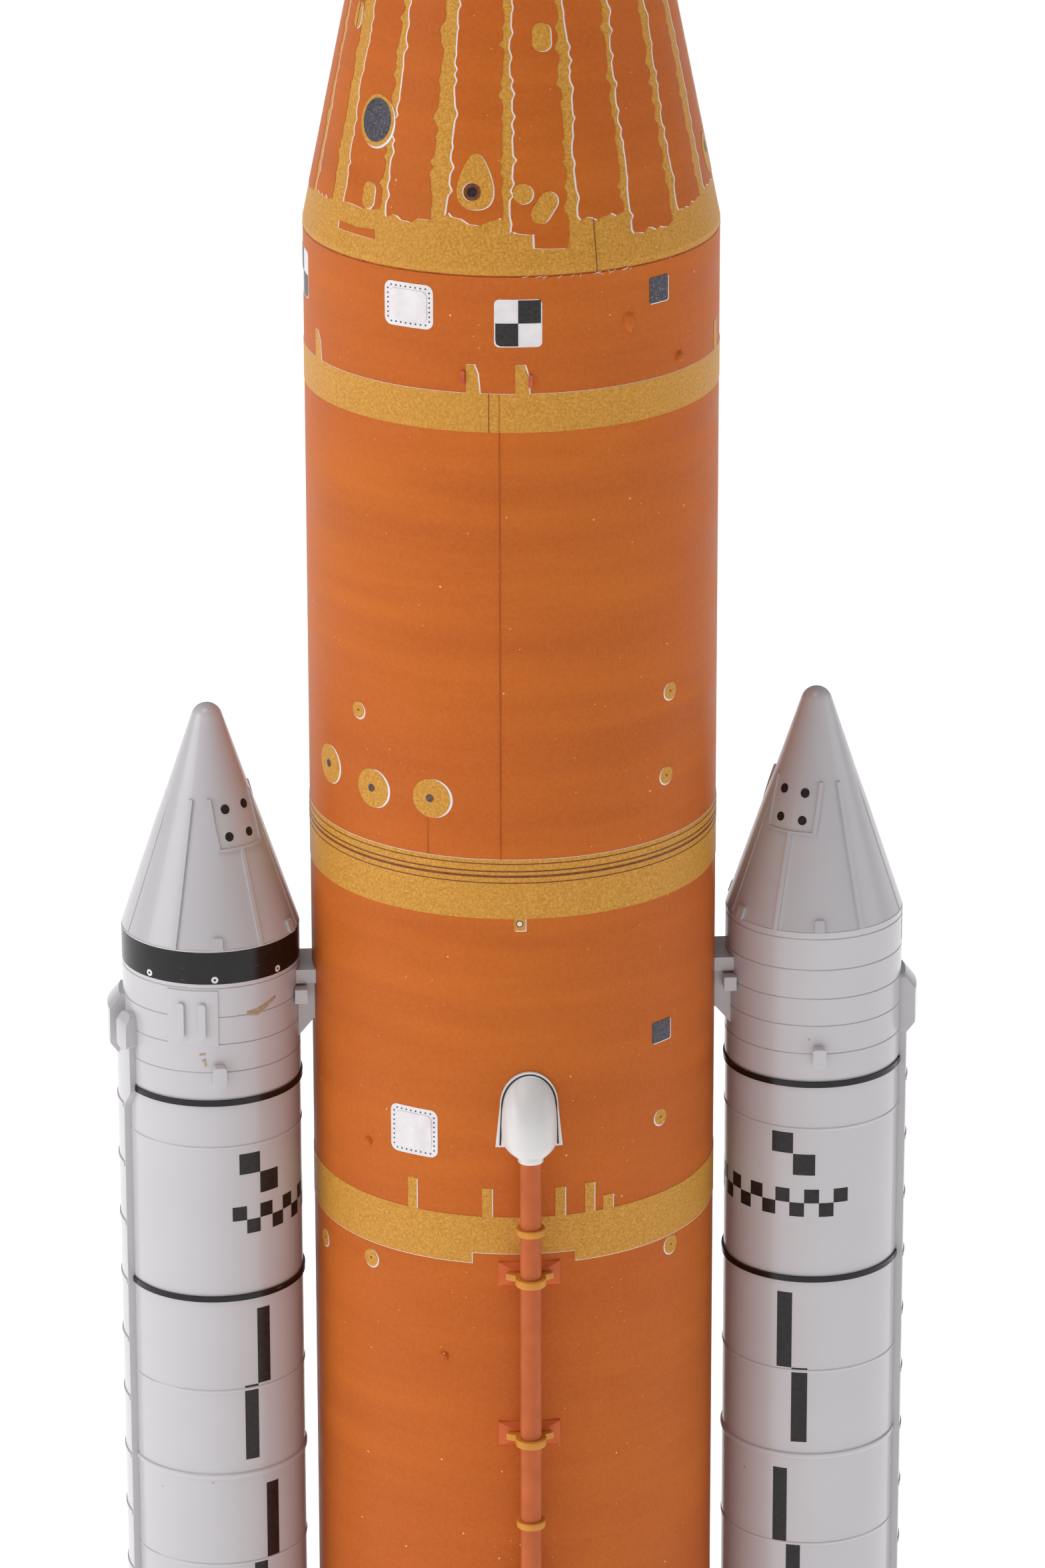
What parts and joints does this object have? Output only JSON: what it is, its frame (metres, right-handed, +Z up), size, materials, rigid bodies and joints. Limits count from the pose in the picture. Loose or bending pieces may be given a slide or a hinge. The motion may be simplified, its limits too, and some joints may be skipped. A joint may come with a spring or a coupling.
{
  "type": "model rocket",
  "caption": "Flying model rocket with an orange printed core, two white strap-on boosters, clear fins, a pull-off nose and a motor mount for a short motor.",
  "frame": {"origin": "on the floor under the core's axis, where the rocket stands on its booster skirts", "axes": "+Z up along the core to the escape tower, +X through the right booster, -Y to the front feedline"},
  "size_m": [0.1118, 0.0492, 0.4905],
  "materials": {
    "printed_wrap": "satin printed paper, orange with gold bands",
    "paper_tube": "spiral-wound kraft",
    "card": "die-cut fibre card",
    "spring_steel": "cold-rolled strip",
    "engine_grey": "moulded",
    "canopy_film": "thin canopy film",
    "line_cotton": "cotton thread",
    "elastic": "elastic cord",
    "clay": "modelling clay",
    "orange_plastic": "painted, satin",
    "gold_plastic": "painted, satin",
    "white_plastic": "moulded, glossy",
    "core_plastic": "moulded",
    "black_plastic": "painted, glossy",
    "clear_plastic": "clear, polished edges"
  },
  "bodies": {
    "airframe": {"aft_centering_ring": "card", "boat_tail": "orange_plastic", "core_tube": "paper_tube", "core_wrap": "printed_wrap", "feedline_clamps": "gold_plastic", "feedline_foot_hood_front": "white_plastic", "feedline_foot_hood_rear": "white_plastic", "feedline_front": "orange_plastic", "feedline_hood_front": "white_plastic", "feedline_hood_rear": "white_plastic", "feedline_pads": "orange_plastic", "feedline_rear": "orange_plastic", "fore_centering_ring": "card", "launch_lug_lower": "paper_tube", "launch_lug_upper": "paper_tube", "left_booster_aft_attach": "white_plastic", "left_booster_aft_skirt": "white_plastic", "left_booster_black_bands": "black_plastic", "left_booster_case": "white_plastic", "left_booster_fin_front": "clear_plastic", "left_booster_fin_rear": "clear_plastic", "left_booster_forward_skirt": "white_plastic", "left_booster_front_bracket": "white_plastic", "left_booster_nose": "white_plastic", "left_booster_nozzle": "engine_grey", "left_booster_tunnel": "white_plastic", "main_engine_1": "engine_grey", "main_engine_2": "engine_grey", "main_engine_3": "engine_grey", "main_engine_4": "engine_grey", "motor_tube": "paper_tube", "parachute": "canopy_film", "parachute_lines": "line_cotton", "right_booster_aft_attach": "white_plastic", "right_booster_aft_skirt": "white_plastic", "right_booster_black_bands": "black_plastic", "right_booster_case": "white_plastic", "right_booster_fin_front": "clear_plastic", "right_booster_fin_rear": "clear_plastic", "right_booster_forward_skirt": "white_plastic", "right_booster_front_bracket": "white_plastic", "right_booster_nose": "white_plastic", "right_booster_nozzle": "engine_grey", "right_booster_tunnel": "white_plastic", "shock_cord_mount": "card", "shock_cord_pack": "elastic", "shock_cord_riser": "elastic", "thrust_ring": "card"},
    "nose": {"adapter_cone": "core_plastic", "cone_wrap": "printed_wrap", "nose_bulkhead": "core_plastic", "nose_weight": "clay", "upper_stage": "white_plastic", "stage_adapter": "white_plastic", "service_fairing": "white_plastic", "crew_shroud": "white_plastic", "escape_tower": "white_plastic", "abort_nozzles": "white_plastic"},
    "hook": {"engine_hook": "spring_steel"}
  },
  "joints": [
    {"name": "nose_slide", "type": "slide", "parent": "airframe", "child": "nose", "axis": [0, 0, 1], "range_m": [0, 0.05], "deforming": ["shock_cord_riser"]},
    {"name": "engine_hook_flex", "type": "hinge", "parent": "airframe", "child": "hook", "pos_m": [0, 0.00995, 0.0819], "axis": [1, 0, 0], "range_deg": [0, 4], "stiffness_Nm_per_rad": 0.2}
  ]
}
